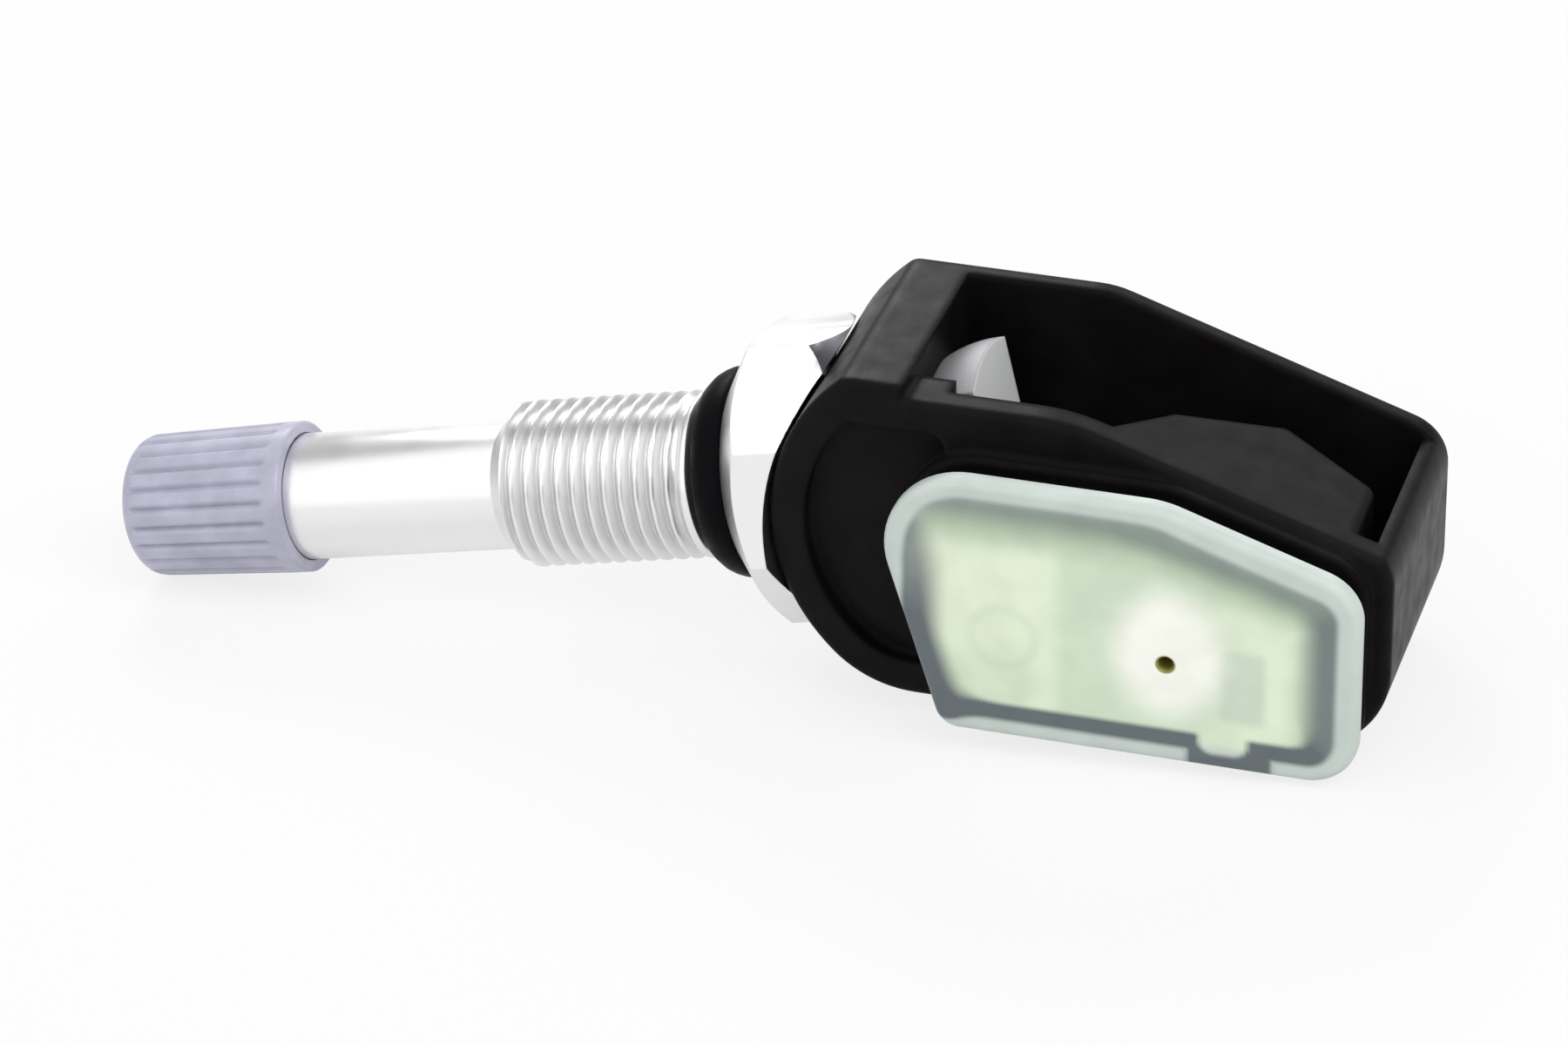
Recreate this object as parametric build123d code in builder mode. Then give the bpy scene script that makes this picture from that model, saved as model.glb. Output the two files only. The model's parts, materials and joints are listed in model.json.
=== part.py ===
from build123d import *
import math
import os

# A clamp-in tyre pressure sensor, lying on its cap and on its housing's far lower edge.
# Millimetres. X runs from the valve cap to the far end of the housing, Y away from the
# lid, Z up. Three measures place the pieces of the housing: "along" and "height" in its
# own side view, from the swivel centre, and "depth" from the lid's outer face.
# On the valve, "reach" is the distance from the swivel centre towards the cap.

# Housing
valve_slope = 12.5
axis_depth = 11.6
front_face = 3.7
back_face = 19.2
front_wall = 1.7
wall = 1.5
end_wall = 1.3
end_along = 24.2
base_height = -12.25
top_height = 8.25
nose_radius = 12.5
nose_drop = 1.35
nose_corner = 1.0
nose_base_round = 7.0
ramp_slope = 18.5
back_ramp_start = 4.2
front_top = 7.4
ramp_blend = 6.0
front_ramp_blend = 12.0
end_top_radius = 3.0
end_base_radius = 6.0
block_along = -4.5
back_edge_round = 0.7
front_edge_round = 0.4

# Plan of the electronics bay's top, as (along, depth)
bay_plan = [(6.2, 4.5), (9.8, 9.6), (15.7, 13.0), (21.6, 10.6), (21.7, 4.5)]
bay_corner = 0.9
bay_edge_round = 0.6

# Lid and the frame it is welded to
lid_thickness = 2.0
lid_top = 5.0
lid_base = -11.75
lid_end = 23.2
lid_ramp_start = 11.6
lid_lean = 16.8
lid_left_at_base = -1.28
lid_radii = [5.0, 1.5, 3.0, 3.0, 6.0]
lid_edge_round = 0.55
lid_pocket_depth = 1.0
rib_inset = 1.4
rib_width = 1.1
rib_depth = 0.9
frame_inset = 0.25
port_along = 12.05
port_height = -5.2
port_radius = 0.45
port_boss_radius = 2.4
port_boss_back = 1.6
step_left = 13.4
step_right = 18.3
notch_left = 14.3
notch_right = 17.2
notch_base = 1.35
notch_top = 5.4
notch_corner = 0.8

# Shallow recess in the lug beside the lid
lug_rim = 2.1
recess_top = 5.6
recess_right = -1.9
recess_depth = 1.0
recess_corner = 1.2
recess_lid_inset = 0.6

# Small ledge behind the front wall, over the swivel nut
ledge_end = -2.1
ledge_back = 6.8
ledge_low = 6.3

# Swivel joint
ball_radius = 7.0
ball_clearance = 0.05
nut_face = 0.2
nut_half_width = 3.4
spigot_radius = 2.5
slot_clearance = 0.12
swivel_limit = 9.0
swivel_margin = 0.4
boss_radius = 5.4
boss_start = 9.0
seat_radius = 12.75
seat_clearance = 0.05

# Valve stem
collar_radius = 9.1
collar_turn = 34.5
collar_face = 15.95
collar_face_radius = 6.3
collar_chamfer_reach = 14.05
collar_bevel_reach = 10.2
collar_bevel_end = 7.8
collar_bevel_radius = 7.9
neck_radius = 4.55
thread_start = 18.75
thread_radius = 5.0
thread_chamfer = 30.55
thread_pitch = 1.0
thread_depth = 0.55
thread_crest = 0.2
shoulder_reach = 31.7
stem_radius = 3.85
stem_end = 54.7
spigot_end = 0.6
edge_break = 0.4
seal_end = 18.25
seal_end_radius = 5.65

# Valve core
air_radius = 1.2
chamber_start = 39.6
chamber_radius = 2.1
mouth_cone = 48.1
mouth_start = 49.3
mouth_radius = 2.62
core_gap = 0.04
barrel_end = 53.5
barrel_foot = 43.1
barrel_foot_radius = 1.75
barrel_bore_radius = 1.45
gasket_start = 45.7
gasket_end = 47.7
pin_radius = 0.5
pin_gap = 0.06
pin_tip = 54.4
pin_flange_reach = 52.3
pin_flange_radius = 1.2
pin_flange_width = 0.5
pin_head_reach = 41.4
pin_head_radius = 1.3
cup_start = 41.95
cup_end = 43.05
cup_radius = 1.85
spring_radius = 0.95
spring_wire = 0.16
spring_turns = 5

# Cap
cap_open = 45.5
cap_end = 56.6
cap_chamfer = 0.6
cap_open_radius = 4.6
cap_end_radius = 4.35
cap_bore_radius = 3.9
cap_rim_width = 1.1
cap_floor = 55.7
cap_flutes = 22
flute_radius = 0.4
flute_circle = 4.58
liner_start = 54.8
liner_radius = 3.8
liner_gap = 0.02

# Electronics
board_front = 3.6
board_back = 4.4
board_inset = 2.75
cell_radius = 5.0
cell_along = 15.4
cell_height = -3.6
cell_front = 4.8
cell_back = 7.3
cell_bay_radius = 5.5
cell_bay_back = 7.7
tab_thickness = 0.15
tab_half_width = 1.5
chip_front = 2.3
chip_half = 2.0
chip_hole_depth = 0.5
port_gasket_radius = 1.4
coil_along = 17.6
coil_low = -8.6
coil_high = -0.8
coil_half = 1.3
coil_front = 1.5
coil_flange = 0.9
coil_bar_half = 0.6
coil_bar_front = 2.1
coil_bar_back = 3.0
winding_half = 1.1
winding_front = 1.7
winding_back = 3.4
can_front = 2.7
crystal_along = (0.6, 3.8)
crystal_heights = (0.4, 2.0)
control_along = (4.6, 9.2)
control_heights = (-5.4, -0.8)
capacitor_length = 1.0
capacitor_width = 0.5
antenna_left = 5.0
antenna_right = 11.8
antenna_front = 2.0
antenna_height = 1.1
antenna_bend = 0.7
antenna_wire_radius = 0.3

# Places of the small capacitors on the board, as (along, height)
capacitor_places = [
    (1.2, -3.0),
    (1.2, -4.6),
    (2.9, -3.0),
    (2.9, -4.6),
    (6.0, -7.6),
    (7.6, -7.6),
    (9.2, -7.6),
    (14.6, -1.6),
]


def rise(slope_degrees):
    """Rise over run of a slope."""
    return math.tan(math.radians(slope_degrees))


def ramp_height(along):
    """Height of the sloping top beside the lid."""
    return lid_top + frame_inset - rise(ramp_slope) * (along - lid_ramp_start)


# The tilt at which the cap's lower edge and the housing's rounded lower edge touch one
# level solves: across * sin(tilt) + drop * cos(tilt) = -end_base_radius.
slope_sine = math.sin(math.radians(valve_slope))
slope_cosine = math.cos(math.radians(valve_slope))
cap_corner = cap_end - cap_chamfer
foot_along = end_along - end_base_radius
foot_height = base_height + end_base_radius
across = cap_corner * slope_cosine - cap_end_radius * slope_sine + foot_along
drop = -(cap_corner * slope_sine + cap_end_radius * slope_cosine + foot_height)
rest_tilt = math.asin(-end_base_radius / math.hypot(across, drop)) - math.atan2(drop, across)
valve_fall = math.radians(valve_slope) - rest_tilt

# The swivel centre stands so that the whole part is centred over the origin, on Z = 0.
end_top_height = top_height - rise(ramp_slope) * (end_along - back_ramp_start)
end_corner_drop = end_top_radius * math.tan(math.radians(90 - ramp_slope) / 2)
leftmost = -cap_end * math.cos(valve_fall) - (cap_end_radius - cap_chamfer) * math.sin(valve_fall)
rightmost = (
    (end_along - end_top_radius) * math.cos(rest_tilt)
    + (end_top_height - end_corner_drop) * math.sin(rest_tilt)
    + end_top_radius
)
collar_half_depth = collar_radius * math.cos(math.radians(45 - collar_turn))
pivot = Vector(
    -(leftmost + rightmost) / 2,
    (axis_depth - collar_half_depth) / 2,
    foot_along * math.sin(rest_tilt) - foot_height * math.cos(rest_tilt) + end_base_radius,
)

along_way = Vector(math.cos(rest_tilt), 0, -math.sin(rest_tilt))
height_way = Vector(math.sin(rest_tilt), 0, math.cos(rest_tilt))
depth_way = Vector(0, 1, 0)
valve_way = Vector(-math.cos(valve_fall), 0, -math.sin(valve_fall))
valve_axis = Axis(pivot, valve_way)
valve_plane = Plane(pivot, x_dir=valve_way, z_dir=-depth_way)


def side_plane(depth):
    """Side view of the housing at a depth: x is along, y is height, z faces the viewer."""
    return Plane(pivot + depth_way * (depth - axis_depth), x_dir=along_way, z_dir=-depth_way)


def plan_plane(height):
    """Plan view of the housing at a height: x is along, y is depth."""
    return Plane(pivot + height_way * height - depth_way * axis_depth, x_dir=along_way, z_dir=height_way)


def cross_plane(reach):
    """Section of the valve at a reach: x faces the viewer, y is up, z points to the cap."""
    return Plane(pivot + valve_way * reach, x_dir=-depth_way, z_dir=valve_way)


def depth_of(shape):
    """Depth of a shape's centre behind the lid's outer face."""
    return shape.center().Y - pivot.Y + axis_depth


def prism(front, back, points, radii, mode=Mode.ADD):
    """Extrudes a side-view outline with rounded corners between two depths."""
    with BuildSketch(side_plane(back)) as profile:
        with BuildLine():
            FilletPolyline(*points, radius=radii, close=True)
        make_face()
    extrude(profile.sketch, amount=back - front, mode=mode)


def slab(front, back, left, right, low, high, mode=Mode.ADD):
    """A block between two depths, two places along and two heights."""
    with BuildSketch(side_plane(back)) as profile:
        with Locations(((left + right) / 2, (low + high) / 2)):
            Rectangle(right - left, high - low)
    extrude(profile.sketch, amount=back - front, mode=mode)


def disc(front, back, along, height, radius, mode=Mode.ADD):
    """A round block facing the lid."""
    with BuildSketch(side_plane(back)) as profile:
        with Locations((along, height)):
            Circle(radius)
    extrude(profile.sketch, amount=back - front, mode=mode)


def plate(front, back, face, mode=Mode.ADD):
    """Extrudes a ready side-view face between two depths."""
    with BuildSketch(side_plane(back)) as profile:
        add(face)
    extrude(profile.sketch, amount=back - front, mode=mode)


def lathe(points, mode=Mode.ADD):
    """Turns a closed outline of (reach, radius) points about the valve axis."""
    with BuildSketch(valve_plane) as profile:
        with BuildLine():
            Polyline(*points, close=True)
        make_face()
    revolve(profile.sketch, axis=valve_axis, mode=mode)


def thread_rings():
    """Outline points of the thread, drawn as plain rings one pitch apart."""
    points = [(thread_start, thread_radius)]
    for turn in range(int((thread_chamfer - thread_start) / thread_pitch)):
        crest_end = thread_start + turn * thread_pitch + thread_crest
        points.append((crest_end, thread_radius))
        points.append((crest_end + (thread_pitch - thread_crest) / 2, thread_radius - thread_depth))
        points.append((crest_end + thread_pitch - thread_crest, thread_radius))
    return points


def lid_face(inset):
    """Side-view face of the lid, drawn in by an inset."""
    left_at_top = lid_left_at_base - (lid_top - lid_base) * rise(lid_lean)
    end_top = lid_top - rise(ramp_slope) * (lid_end - lid_ramp_start)
    with BuildSketch() as face:
        with BuildLine():
            FilletPolyline(
                (left_at_top, lid_top),
                (lid_left_at_base, lid_base),
                (lid_end, lid_base),
                (lid_end, end_top),
                (lid_ramp_start, lid_top),
                radius=lid_radii,
                close=True,
            )
        make_face()
        if inset > 0:
            offset(amount=-inset, mode=Mode.REPLACE)
    return face.sketch


def housing_face(inset):
    """Side-view face of the whole housing, drawn in by an inset."""
    nose_top = -math.sqrt(nose_radius**2 - (top_height + nose_drop) ** 2)
    nose_base = -math.sqrt(nose_radius**2 - (base_height + nose_drop) ** 2)
    with BuildSketch() as face:
        with BuildLine():
            ThreePointArc((nose_base, base_height), (-nose_radius, -nose_drop), (nose_top, top_height))
            FilletPolyline(
                (nose_top, top_height),
                (back_ramp_start, top_height),
                (end_along, end_top_height),
                (end_along, base_height),
                (nose_base, base_height),
                radius=[ramp_blend, end_top_radius, end_base_radius],
            )
        make_face()
        fillet(face.vertices().sort_by(Axis.X)[:2].sort_by(Axis.Y)[-1], nose_corner)
        fillet(face.vertices().sort_by(Axis.Y)[:2].sort_by(Axis.X)[0], nose_base_round)
        if inset > 0:
            offset(amount=-inset, mode=Mode.REPLACE)
    return face.sketch


lid_whole = lid_face(0)
lid_frame = lid_face(frame_inset)
lid_rib = lid_face(rib_inset)
lid_inside = lid_face(rib_inset + rib_width)
lid_board = lid_face(board_inset)
lid_recess = lid_face(recess_lid_inset)
frame_front = lid_thickness + rib_depth

# Space that the housing's boss swings in, behind the collar
with BuildPart() as boss_space:
    with BuildSketch(cross_plane(0)):
        SlotCenterToCenter(
            2 * seat_radius * math.sin(math.radians(swivel_limit)),
            2 * (boss_radius + slot_clearance),
            rotation=90,
        )
    extrude(amount=collar_face)
    disc(0, back_face, 0, 0, seat_radius, mode=Mode.INTERSECT)

# Valve stem: turned in one piece, with thread, eight-sided collar and spigot
with BuildPart() as valve_stem:
    with BuildSketch(cross_plane(spigot_end)):
        RegularPolygon(collar_radius, 8, rotation=collar_turn)
    extrude(amount=collar_face - spigot_end)
    lathe(
        [
            (spigot_end, 0),
            (spigot_end, collar_bevel_radius),
            (collar_bevel_end, collar_bevel_radius),
            (collar_bevel_reach, collar_radius),
            (collar_chamfer_reach, collar_radius),
            (collar_face, collar_face_radius),
            (collar_face, 0),
        ],
        mode=Mode.INTERSECT,
    )
    add(boss_space.part, mode=Mode.SUBTRACT)
    # The collar also clears the nose over the whole swing
    collar_front = axis_depth - collar_radius
    collar_back = axis_depth + collar_radius
    for turn in (-swivel_limit, 0, swivel_limit):
        swing = math.radians(turn)
        disc(
            collar_front,
            collar_back,
            nose_drop * math.sin(swing),
            -nose_drop * math.cos(swing),
            nose_radius + seat_clearance,
            mode=Mode.SUBTRACT,
        )
    lathe([
        (spigot_end, 0),
        (spigot_end, spigot_radius - edge_break),
        (spigot_end + edge_break, spigot_radius),
        (collar_face - edge_break, spigot_radius),
        (collar_face - edge_break, neck_radius),
        (thread_start - edge_break, neck_radius),
        *thread_rings(),
        (thread_chamfer, thread_radius),
        (shoulder_reach, stem_radius),
        (stem_end - edge_break, stem_radius),
        (stem_end, stem_radius - edge_break),
        (stem_end, 0),
    ])
    lathe(
        [
            (0, 0),
            (0, air_radius),
            (chamber_start, air_radius),
            (chamber_start, chamber_radius),
            (mouth_cone, chamber_radius),
            (mouth_start, mouth_radius),
            (cap_end, mouth_radius),
            (cap_end, 0),
        ],
        mode=Mode.SUBTRACT,
    )

# Rubber cone ring against the collar
with BuildPart() as stem_seal:
    lathe([
        (collar_face, neck_radius),
        (collar_face, collar_face_radius - edge_break / 2),
        (collar_face + edge_break, collar_face_radius),
        (seal_end - edge_break, seal_end_radius),
        (seal_end, seal_end_radius - edge_break),
        (seal_end, neck_radius),
    ])

# Half ball that clamps the housing, with flats that run in the channel
with BuildPart() as swivel_nut:
    ball_foot = math.sqrt(ball_radius**2 - spigot_radius**2)
    ball_middle = ball_radius * math.sqrt(0.5)
    nut_rim = math.sqrt(ball_radius**2 - nut_face**2)
    with BuildSketch(valve_plane):
        with BuildLine():
            Polyline((ball_foot, spigot_radius), (nut_face, spigot_radius), (nut_face, nut_rim))
            ThreePointArc((nut_face, nut_rim), (ball_middle, ball_middle), (ball_foot, spigot_radius))
        make_face()
    revolve(axis=valve_axis)
    slab(
        axis_depth - nut_half_width,
        axis_depth + nut_half_width,
        -2 * ball_radius,
        2 * ball_radius,
        -2 * ball_radius,
        2 * ball_radius,
        mode=Mode.INTERSECT,
    )

# Valve core: screwed barrel, its gasket, and the sprung pin with its seal
with BuildPart() as core_barrel:
    lathe([
        (barrel_foot, pin_radius + pin_gap),
        (barrel_foot, barrel_foot_radius),
        (gasket_end, barrel_foot_radius),
        (mouth_cone, chamber_radius - core_gap),
        (mouth_start, mouth_radius - core_gap),
        (barrel_end, mouth_radius - core_gap),
        (barrel_end, barrel_bore_radius),
        (mouth_cone, barrel_bore_radius),
        (mouth_cone, pin_radius + pin_gap),
    ])

with BuildPart() as core_gasket:
    lathe([
        (gasket_start, barrel_foot_radius),
        (gasket_start, chamber_radius - core_gap),
        (gasket_end, chamber_radius - core_gap),
        (gasket_end, barrel_foot_radius),
    ])

with BuildPart() as core_pin:
    lathe([
        (pin_head_reach, 0),
        (pin_head_reach, pin_head_radius),
        (cup_start, pin_head_radius),
        (cup_start, pin_radius),
        (pin_flange_reach, pin_radius),
        (pin_flange_reach, pin_flange_radius),
        (pin_flange_reach + pin_flange_width, pin_flange_radius),
        (pin_flange_reach + pin_flange_width, pin_radius),
        (pin_tip, pin_radius),
        (pin_tip, 0),
    ])

with BuildPart() as core_cup:
    lathe([
        (cup_start, pin_radius),
        (cup_start, cup_radius),
        (cup_end, cup_radius),
        (cup_end, pin_radius),
    ])

spring_start = mouth_cone + spring_wire + core_gap
spring_length = pin_flange_reach - mouth_cone - 2 * (spring_wire + core_gap)
with BuildPart() as core_spring:
    with BuildLine() as spring_line:
        Helix(
            pitch=spring_length / spring_turns,
            height=spring_length,
            radius=spring_radius,
            center=pivot + valve_way * spring_start,
            direction=valve_way,
        )
    with BuildSketch(Plane(spring_line.line @ 0, z_dir=spring_line.line % 0)):
        Circle(spring_wire)
    sweep(is_frenet=True)

# Cap: fluted shell and its rubber liner
with BuildPart() as cap_shell:
    cap_rim = cap_open + cap_rim_width
    lathe([
        (cap_open, cap_bore_radius),
        (cap_open, cap_open_radius),
        (cap_rim, cap_open_radius),
        (cap_corner, cap_end_radius),
        (cap_end, cap_end_radius - cap_chamfer),
        (cap_end, 0),
        (cap_floor, 0),
        (cap_floor, cap_bore_radius),
    ])
    with BuildSketch(cross_plane(cap_rim)):
        with PolarLocations(flute_circle, cap_flutes):
            Circle(flute_radius)
    extrude(amount=cap_end - cap_rim, mode=Mode.SUBTRACT)

with BuildPart() as cap_liner:
    lathe([
        (liner_start, 0),
        (liner_start, liner_radius),
        (cap_floor - liner_gap, liner_radius),
        (cap_floor - liner_gap, 0),
    ])

# Electronics bay inside the housing, under the sloping top
floor_height = base_height + wall
with BuildPart() as bay_block:
    with BuildSketch(plan_plane(floor_height - wall / 2)):
        with BuildLine():
            FilletPolyline(
                *bay_plan,
                radius=[0, bay_corner, bay_corner, bay_corner, 0],
                close=True,
            )
        make_face()
    extrude(amount=top_height - floor_height)
    prism(
        0,
        back_face,
        [
            (0, ramp_height(0)),
            (end_along, ramp_height(end_along)),
            (end_along, 2 * top_height),
            (0, 2 * top_height),
        ],
        [0, 0, 0, 0],
        mode=Mode.SUBTRACT,
    )
    bay_top = bay_block.faces().sort_by(Axis(pivot, height_way + along_way * rise(ramp_slope)))[-1]
    bay_top_edges = bay_top.edges().filter_by(lambda edge: depth_of(edge) > front_face + front_wall)
    fillet(bay_top_edges, bay_edge_round)

# Round boss on the housing's nose, curved about the swivel centre
with BuildPart() as seat_boss:
    with BuildSketch(cross_plane(boss_start)):
        Circle(boss_radius)
    extrude(amount=seat_radius - boss_start)
    disc(0, back_face, 0, 0, seat_radius - seat_clearance, mode=Mode.INTERSECT)

# Space of the swivel nut in the housing
with BuildPart() as nut_seat:
    with Locations(pivot):
        Sphere(ball_radius + ball_clearance)
    slab(
        axis_depth - nut_half_width - ball_clearance,
        axis_depth + nut_half_width + ball_clearance,
        -2 * ball_radius,
        2 * ball_radius,
        -2 * ball_radius,
        2 * ball_radius,
        mode=Mode.INTERSECT,
    )

# Housing: one moulding
with BuildPart() as housing_shell:
    plate(front_face, back_face, housing_face(0))
    fillet(housing_shell.faces().sort_by(Axis.Y)[-1].edges(), back_edge_round)
    # The front wall and the far end stand lower than the back wall
    front_ramp_start = lid_ramp_start - (front_top - lid_top - frame_inset) / rise(ramp_slope)
    prism(
        0,
        back_face - wall,
        [
            (block_along, front_top),
            (front_ramp_start, front_top),
            (end_along + wall, ramp_height(end_along + wall)),
            (end_along + wall, 2 * top_height),
            (block_along, 2 * top_height),
        ],
        [0, front_ramp_blend, 0, 0, 0],
        mode=Mode.SUBTRACT,
    )
    fillet(housing_shell.faces().sort_by(Axis.Y)[0].edges(), front_edge_round)
    # Channel for the swivel nut, open at the top
    prism(
        front_face + front_wall,
        back_face - wall,
        [
            (block_along, floor_height),
            (end_along - end_wall, floor_height),
            (end_along - end_wall, 2 * top_height),
            (block_along, 2 * top_height),
        ],
        [wall, end_base_radius - end_wall, 0, 0],
        mode=Mode.SUBTRACT,
    )
    add(bay_block.part)
    wall_middle = front_face + front_wall / 2
    slab(wall_middle, ledge_back, block_along - wall, ledge_end, ledge_low, front_top)
    # Frame and weld rib behind the lid
    plate(frame_front, wall_middle, lid_frame)
    plate(lid_thickness, frame_front, lid_rib)
    step_low = lid_base + frame_inset
    step_high = lid_base + 2 * rib_inset
    slab(lid_thickness, frame_front, step_left, step_right, step_low, step_high)
    plate(lid_thickness, board_back, lid_inside, mode=Mode.SUBTRACT)
    prism(
        lid_thickness,
        board_back,
        [
            (notch_left, lid_base + notch_base),
            (notch_right, lid_base + notch_base),
            (notch_right, lid_base + notch_top),
            (notch_left, lid_base + notch_top),
        ],
        [notch_corner, notch_corner, 0, 0],
        mode=Mode.SUBTRACT,
    )
    disc(board_front, cell_bay_back, cell_along, cell_height, cell_bay_radius, mode=Mode.SUBTRACT)
    # Recess in the lug
    with BuildSketch(side_plane(front_face + recess_depth)):
        add(housing_face(lug_rim))
        with Locations((recess_right, recess_top)):
            RectangleRounded(
                2 * nose_radius,
                2 * nose_radius,
                recess_corner,
                align=(Align.MAX, Align.MAX),
                mode=Mode.INTERSECT,
            )
        add(lid_recess, mode=Mode.SUBTRACT)
    extrude(amount=recess_depth, mode=Mode.SUBTRACT)
    # Boss that the collar seats on, and the nut's seat inside
    add(seat_boss.part)
    add(nut_seat.part, mode=Mode.SUBTRACT)
    # Slot that lets the spigot swing
    slot_radius = spigot_radius + slot_clearance
    slot_turn = swivel_limit + swivel_margin
    slot_reach = seat_radius + wall
    swing_ways = [math.radians(180 + valve_slope + turn) for turn in (-slot_turn, slot_turn)]
    prism(
        axis_depth - slot_radius,
        axis_depth + slot_radius,
        [(0, 0)] + [(slot_reach * math.cos(way), slot_reach * math.sin(way)) for way in swing_ways],
        [0, 0, 0],
        mode=Mode.SUBTRACT,
    )
    for way in swing_ways:
        bore_way = along_way * math.cos(way) + height_way * math.sin(way)
        with BuildSketch(Plane(pivot, x_dir=-depth_way, z_dir=bore_way)):
            Circle(slot_radius)
        extrude(amount=slot_reach, mode=Mode.SUBTRACT)

# Lid: a shallow tray with the pressure port
with BuildPart() as lid:
    plate(0, lid_thickness, lid_whole)
    fillet(lid.faces().sort_by(Axis.Y)[0].edges(), lid_edge_round)
    plate(lid_pocket_depth, lid_thickness, lid_inside, mode=Mode.SUBTRACT)
    disc(lid_pocket_depth / 2, port_boss_back, port_along, port_height, port_boss_radius)
    disc(-lid_thickness, lid_thickness, port_along, port_height, port_radius, mode=Mode.SUBTRACT)

# Board and what it carries
with BuildPart() as circuit_board:
    plate(board_front, board_back, lid_board)

with BuildPart() as battery_cell:
    disc(cell_front, cell_back, cell_along, cell_height, cell_radius)
    fillet(battery_cell.edges().filter_by(GeomType.CIRCLE), edge_break)

with BuildPart() as battery_tab_front:
    tab_front_low = cell_height - tab_half_width
    tab_front_high = cell_height + cell_radius - edge_break
    slab(
        cell_front - tab_thickness,
        cell_front,
        cell_along - tab_half_width,
        cell_along + tab_half_width,
        tab_front_low,
        tab_front_high,
    )
    slab(
        board_back,
        cell_front,
        cell_along - tab_half_width,
        cell_along + tab_half_width,
        tab_front_high - tab_thickness,
        tab_front_high,
    )

with BuildPart() as battery_tab_back:
    leg_low = cell_height + cell_radius + core_gap
    slab(
        cell_back,
        cell_back + tab_thickness,
        cell_along - tab_half_width,
        cell_along + tab_half_width,
        cell_height - tab_half_width,
        leg_low + tab_thickness,
    )
    slab(
        board_back,
        cell_back + tab_thickness,
        cell_along - tab_half_width,
        cell_along + tab_half_width,
        leg_low,
        leg_low + tab_thickness,
    )

with BuildPart() as sensor_chip:
    slab(
        chip_front,
        board_front,
        port_along - chip_half,
        port_along + chip_half,
        port_height - chip_half,
        port_height + chip_half,
    )
    disc(0, chip_front + chip_hole_depth, port_along, port_height, port_radius, mode=Mode.SUBTRACT)

with BuildPart() as port_gasket:
    disc(port_boss_back, chip_front, port_along, port_height, port_gasket_radius)
    disc(0, chip_front, port_along, port_height, port_radius, mode=Mode.SUBTRACT)

coil_bar = (coil_along - coil_bar_half, coil_along + coil_bar_half, coil_low, coil_high)
with BuildPart() as coil_core:
    coil_left = coil_along - coil_half
    coil_right = coil_along + coil_half
    slab(coil_front, board_front, coil_left, coil_right, coil_low, coil_low + coil_flange)
    slab(coil_front, board_front, coil_left, coil_right, coil_high - coil_flange, coil_high)
    slab(coil_bar_front, coil_bar_back, *coil_bar)

with BuildPart() as coil_winding:
    slab(
        winding_front,
        winding_back,
        coil_along - winding_half,
        coil_along + winding_half,
        coil_low + coil_flange,
        coil_high - coil_flange,
    )
    slab(coil_bar_front, coil_bar_back, *coil_bar, mode=Mode.SUBTRACT)

with BuildPart() as crystal:
    slab(can_front, board_front, *crystal_along, *crystal_heights)

with BuildPart() as control_chip:
    slab(can_front, board_front, *control_along, *control_heights)

with BuildPart() as chip_capacitors:
    with BuildSketch(side_plane(board_front)):
        with Locations(*capacitor_places):
            Rectangle(capacitor_length, capacitor_width)
    extrude(amount=capacitor_width)

with BuildPart() as antenna_wire:
    with BuildLine(plan_plane(antenna_height)) as antenna_line:
        FilletPolyline(
            (antenna_left, board_front),
            (antenna_left, antenna_front),
            (antenna_right, antenna_front),
            (antenna_right, board_front),
            radius=antenna_bend,
        )
    with BuildSketch(Plane(antenna_line.line @ 0, z_dir=antenna_line.line % 0)):
        Circle(antenna_wire_radius)
    sweep()

nodes = {
    "valve_stem": valve_stem,
    "stem_seal": stem_seal,
    "swivel_nut": swivel_nut,
    "core_barrel": core_barrel,
    "core_gasket": core_gasket,
    "core_pin": core_pin,
    "core_cup": core_cup,
    "core_spring": core_spring,
    "cap_shell": cap_shell,
    "cap_liner": cap_liner,
    "housing_shell": housing_shell,
    "lid": lid,
    "circuit_board": circuit_board,
    "battery_cell": battery_cell,
    "battery_tab_front": battery_tab_front,
    "battery_tab_back": battery_tab_back,
    "sensor_chip": sensor_chip,
    "port_gasket": port_gasket,
    "coil_core": coil_core,
    "coil_winding": coil_winding,
    "crystal": crystal,
    "control_chip": control_chip,
    "chip_capacitors": chip_capacitors,
    "antenna_wire": antenna_wire,
}
os.makedirs("parts", exist_ok=True)
for name, builder in nodes.items():
    builder.part.label = name
    export_step(builder.part, f"parts/{name}.step")

print("tilt", round(math.degrees(rest_tilt), 3), "pivot", tuple(pivot), "valve way", tuple(valve_way))
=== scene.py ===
"""Looks of the tyre pressure sensor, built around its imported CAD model. Sizes are in millimetres."""

import json
import math

import bmesh
import bpy
from mathutils import Matrix, Vector


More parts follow.
